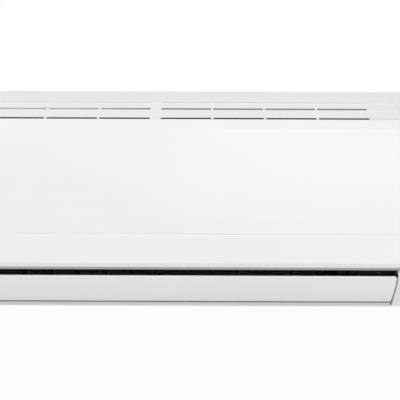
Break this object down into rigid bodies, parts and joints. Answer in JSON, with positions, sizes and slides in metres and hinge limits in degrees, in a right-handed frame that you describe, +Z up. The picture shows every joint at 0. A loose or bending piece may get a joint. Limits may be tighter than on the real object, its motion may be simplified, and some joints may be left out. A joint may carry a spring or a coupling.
{
  "type": "air conditioner indoor unit",
  "caption": "White wall-mounted split air conditioner indoor unit with a top intake grille, lift-up front panel, cross-flow fan, filters, vanes and a swinging outlet flap.",
  "frame": {"origin": "on the wall, at the middle of the wall plate's back face", "axes": "+X along the unit to the right of someone who faces it, +Y into the wall, +Z up; the room is at -Y"},
  "size_m": [0.79, 0.1965, 0.286],
  "materials": {
    "white_abs": "fine satin moulded, warm white",
    "white_panel": "smooth satin gloss, white",
    "grey_plastic": "matt moulded, mid grey",
    "pan_plastic": "matt moulded, light grey",
    "fan_plastic": "satin glass-filled, dark grey",
    "filter_frame": "satin, blue grey",
    "motor_resin": "moulded resin, black",
    "circuit_board": "solder mask green",
    "galvanised_steel": "galvanised sheet",
    "fin_aluminium": "thin bare fins",
    "copper": "drawn copper tube",
    "brass": "turned flare nut",
    "rubber": "moulded rubber"
  },
  "bodies": {
    "chassis": {"wall_plate": "galvanised_steel", "rear_chassis": "white_abs", "front_casing": "white_abs", "drain_pan": "pan_plastic", "drain_plug": "rubber", "coil_front": "fin_aluminium", "coil_upper": "fin_aluminium", "coil_rear": "fin_aluminium", "coil_end_left": "fin_aluminium", "coil_end_right": "fin_aluminium", "coil_cap": "galvanised_steel", "gas_pipe": "copper", "gas_pipe_nut": "brass", "liquid_pipe": "copper", "liquid_pipe_nut": "brass", "fan_motor": "motor_resin", "motor_cover": "pan_plastic", "fan_bearing": "rubber", "flap_motor": "galvanised_steel", "flap_bracket_left": "grey_plastic", "flap_bracket_middle": "grey_plastic", "flap_bracket_right": "grey_plastic", "vane_rail_left": "grey_plastic", "vane_rail_right": "grey_plastic", "control_box": "grey_plastic", "control_box_cover": "galvanised_steel", "control_board": "circuit_board", "transformer": "motor_resin", "terminal_block": "motor_resin", "display_board": "circuit_board"},
    "front_panel": {"front_panel": "white_panel"},
    "outlet_flap": {"outlet_flap": "white_abs", "flap_coupling": "grey_plastic"},
    "fan": {"cross_flow_fan": "fan_plastic", "motor_shaft": "galvanised_steel"},
    "filter_left": {"filter_left": "filter_frame"},
    "filter_right": {"filter_right": "filter_frame"},
    "emergency_button": {"emergency_button": "white_abs"},
    "vane_left_1": {"vane_left_1": "grey_plastic"},
    "vane_left_2": {"vane_left_2": "grey_plastic"},
    "vane_left_3": {"vane_left_3": "grey_plastic"},
    "vane_left_4": {"vane_left_4": "grey_plastic"},
    "vane_left_5": {"vane_left_5": "grey_plastic"},
    "vane_left_6": {"vane_left_6": "grey_plastic"},
    "vane_link_left": {"vane_link_left": "grey_plastic"},
    "vane_right_1": {"vane_right_1": "grey_plastic"},
    "vane_right_2": {"vane_right_2": "grey_plastic"},
    "vane_right_3": {"vane_right_3": "grey_plastic"},
    "vane_right_4": {"vane_right_4": "grey_plastic"},
    "vane_right_5": {"vane_right_5": "grey_plastic"},
    "vane_right_6": {"vane_right_6": "grey_plastic"},
    "vane_link_right": {"vane_link_right": "grey_plastic"}
  },
  "joints": [
    {"name": "panel_hinge", "type": "hinge", "parent": "chassis", "child": "front_panel", "pos_m": [0, -0.181, 0.113], "axis": [-1, 0, 0], "range_deg": [0, 70]},
    {"name": "flap_hinge", "type": "hinge", "parent": "chassis", "child": "outlet_flap", "pos_m": [0, -0.1458, -0.127], "axis": [1, 0, 0], "range_deg": [0, 80]},
    {"name": "fan_spin", "type": "hinge", "parent": "chassis", "child": "fan", "pos_m": [0, -0.086, -0.044], "axis": [1, 0, 0], "continuous": true},
    {"name": "filter_left_slide", "type": "slide", "parent": "chassis", "child": "filter_left", "axis": [0, 0, 1], "range_m": [0, 0.012]},
    {"name": "filter_right_slide", "type": "slide", "parent": "chassis", "child": "filter_right", "axis": [0, 0, 1], "range_m": [0, 0.012]},
    {"name": "button_press", "type": "slide", "parent": "chassis", "child": "emergency_button", "axis": [0, 1, 0], "range_m": [0, 0.0015], "stiffness_N_per_m": 300, "springref_m": -0.001},
    {"name": "vane_left_1_turn", "type": "hinge", "parent": "chassis", "child": "vane_left_1", "pos_m": [-0.037, -0.11059, -0.1293], "axis": [0, -0.4472, 0.8944], "range_deg": [-30, 30]},
    {"name": "vane_left_2_turn", "type": "hinge", "parent": "chassis", "child": "vane_left_2", "pos_m": [-0.075, -0.11059, -0.1293], "axis": [0, -0.4472, 0.8944], "range_deg": [-30, 30]},
    {"name": "vane_left_3_turn", "type": "hinge", "parent": "chassis", "child": "vane_left_3", "pos_m": [-0.113, -0.11059, -0.1293], "axis": [0, -0.4472, 0.8944], "range_deg": [-30, 30]},
    {"name": "vane_left_4_turn", "type": "hinge", "parent": "chassis", "child": "vane_left_4", "pos_m": [-0.151, -0.11059, -0.1293], "axis": [0, -0.4472, 0.8944], "range_deg": [-30, 30]},
    {"name": "vane_left_5_turn", "type": "hinge", "parent": "chassis", "child": "vane_left_5", "pos_m": [-0.189, -0.11059, -0.1293], "axis": [0, -0.4472, 0.8944], "range_deg": [-30, 30]},
    {"name": "vane_left_6_turn", "type": "hinge", "parent": "chassis", "child": "vane_left_6", "pos_m": [-0.227, -0.11059, -0.1293], "axis": [0, -0.4472, 0.8944], "range_deg": [-30, 30]},
    {"name": "vane_link_left_pin", "type": "hinge", "parent": "vane_left_1", "child": "vane_link_left", "pos_m": [-0.037, -0.11417, -0.09755], "axis": [0, -0.4472, 0.8944], "range_deg": [-30, 30]},
    {"name": "vane_right_1_turn", "type": "hinge", "parent": "chassis", "child": "vane_right_1", "pos_m": [0.037, -0.11059, -0.1293], "axis": [0, -0.4472, 0.8944], "range_deg": [-30, 30]},
    {"name": "vane_right_2_turn", "type": "hinge", "parent": "chassis", "child": "vane_right_2", "pos_m": [0.075, -0.11059, -0.1293], "axis": [0, -0.4472, 0.8944], "range_deg": [-30, 30]},
    {"name": "vane_right_3_turn", "type": "hinge", "parent": "chassis", "child": "vane_right_3", "pos_m": [0.113, -0.11059, -0.1293], "axis": [0, -0.4472, 0.8944], "range_deg": [-30, 30]},
    {"name": "vane_right_4_turn", "type": "hinge", "parent": "chassis", "child": "vane_right_4", "pos_m": [0.151, -0.11059, -0.1293], "axis": [0, -0.4472, 0.8944], "range_deg": [-30, 30]},
    {"name": "vane_right_5_turn", "type": "hinge", "parent": "chassis", "child": "vane_right_5", "pos_m": [0.189, -0.11059, -0.1293], "axis": [0, -0.4472, 0.8944], "range_deg": [-30, 30]},
    {"name": "vane_right_6_turn", "type": "hinge", "parent": "chassis", "child": "vane_right_6", "pos_m": [0.227, -0.11059, -0.1293], "axis": [0, -0.4472, 0.8944], "range_deg": [-30, 30]},
    {"name": "vane_link_right_pin", "type": "hinge", "parent": "vane_right_1", "child": "vane_link_right", "pos_m": [0.037, -0.11417, -0.09755], "axis": [0, -0.4472, 0.8944], "range_deg": [-30, 30]}
  ],
  "couplings": [
    {"joint": "vane_left_2_turn", "follows": "vane_left_1_turn", "ratio": 1},
    {"joint": "vane_left_3_turn", "follows": "vane_left_1_turn", "ratio": 1},
    {"joint": "vane_left_4_turn", "follows": "vane_left_1_turn", "ratio": 1},
    {"joint": "vane_left_5_turn", "follows": "vane_left_1_turn", "ratio": 1},
    {"joint": "vane_left_6_turn", "follows": "vane_left_1_turn", "ratio": 1},
    {"joint": "vane_link_left_pin", "follows": "vane_left_1_turn", "ratio": -1},
    {"joint": "vane_right_2_turn", "follows": "vane_right_1_turn", "ratio": 1},
    {"joint": "vane_right_3_turn", "follows": "vane_right_1_turn", "ratio": 1},
    {"joint": "vane_right_4_turn", "follows": "vane_right_1_turn", "ratio": 1},
    {"joint": "vane_right_5_turn", "follows": "vane_right_1_turn", "ratio": 1},
    {"joint": "vane_right_6_turn", "follows": "vane_right_1_turn", "ratio": 1},
    {"joint": "vane_link_right_pin", "follows": "vane_right_1_turn", "ratio": -1}
  ]
}
